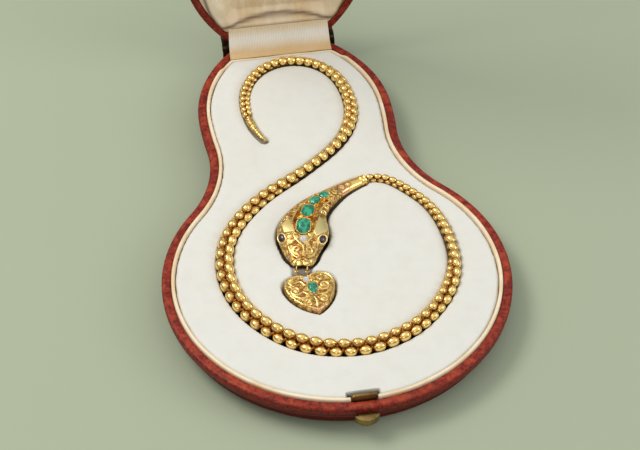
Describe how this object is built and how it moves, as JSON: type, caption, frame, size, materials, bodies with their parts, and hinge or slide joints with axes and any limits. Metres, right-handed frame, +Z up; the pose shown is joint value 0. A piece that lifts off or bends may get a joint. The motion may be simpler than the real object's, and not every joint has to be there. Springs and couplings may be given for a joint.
{
  "type": "snake necklace in a fitted case",
  "caption": "Gold snake necklace with green stones and a heart drop, lying in a gourd shaped leather case with its padded lid open.",
  "frame": {"origin": "on the table under the centre of the case's big lobe, at the flat underside of the base", "axes": "+Y along the case from the catch to the hinge, +X to the right seen from the front, +Z up"},
  "size_m": [0.114, 0.2016, 0.1916],
  "materials": {
    "leather": "satin",
    "silk": "satin",
    "velvet": "matte",
    "gold": "polished",
    "brass": "satin",
    "emerald": "polished",
    "diamond": "polished",
    "garnet": "polished"
  },
  "bodies": {
    "case": {"case_base": "leather", "base_flange": "silk", "velvet_pad": "velvet", "hinge_base_left": "brass", "hinge_base_right": "brass", "hinge_ribbon": "silk", "snake_head": "gold", "emerald_1": "emerald", "emerald_2": "emerald", "emerald_3": "emerald", "emerald_4": "emerald", "brow_diamond": "diamond", "garnet_left": "garnet", "garnet_right": "garnet", "heart_pendant": "gold", "heart_emerald": "emerald", "heart_diamond": "diamond", "mouth_ring_left": "gold", "mouth_ring_right": "gold", "throat_clasp": "gold", "tail_tip": "gold", "chain_front": "gold", "chain_back": "gold"},
    "lid": {"lid_shell": "leather", "lid_lining": "silk", "lid_keeper": "brass", "hinge_lid_left": "brass", "hinge_lid_right": "brass"},
    "catch": {"push_catch": "brass"}
  },
  "joints": [
    {"name": "lid_hinge", "type": "hinge", "parent": "case", "child": "lid", "pos_m": [0, 0.1242, 0.0105], "axis": [1, 0, 0], "range_deg": [0, 91], "deforming": ["hinge_ribbon"]},
    {"name": "catch_slide", "type": "slide", "parent": "case", "child": "catch", "axis": [0, 1, 0], "range_m": [0, 0.001], "stiffness_N_per_m": 200}
  ]
}
